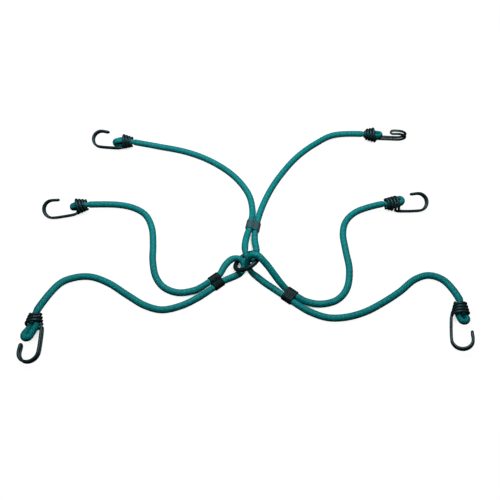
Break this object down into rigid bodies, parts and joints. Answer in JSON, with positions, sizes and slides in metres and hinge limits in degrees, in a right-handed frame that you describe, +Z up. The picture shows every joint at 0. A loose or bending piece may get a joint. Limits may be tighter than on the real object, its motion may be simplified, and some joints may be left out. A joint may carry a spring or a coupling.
{
  "type": "spider bungee",
  "caption": "Elastic luggage strap of braided cords doubled through a central ring, held by crimped bands, with a wire hook on each free end.",
  "frame": {"origin": "on the surface the strap lies on, under the middle of its box", "axes": "+X to the right and +Y away as it lies in the picture, +Z up off the surface"},
  "size_m": [0.5216, 0.3478, 0.0337],
  "materials": {
    "cord": "teal braided cover with a slight sheen",
    "hook_wire": "black coated wire, satin gloss",
    "ring": "black coated bar, satin gloss",
    "band": "dark pressed band, dull"
  },
  "bodies": {
    "root": {"ring": "ring", "cord_top": "cord", "cord_left": "cord", "cord_right": "cord", "crimp_top": "band", "crimp_left": "band", "crimp_right": "band", "hook_top_left": "hook_wire", "hook_top_right": "hook_wire", "hook_mid_left": "hook_wire", "hook_low_left": "hook_wire", "hook_mid_right": "hook_wire", "hook_low_right": "hook_wire"}
  },
  "joints": []
}
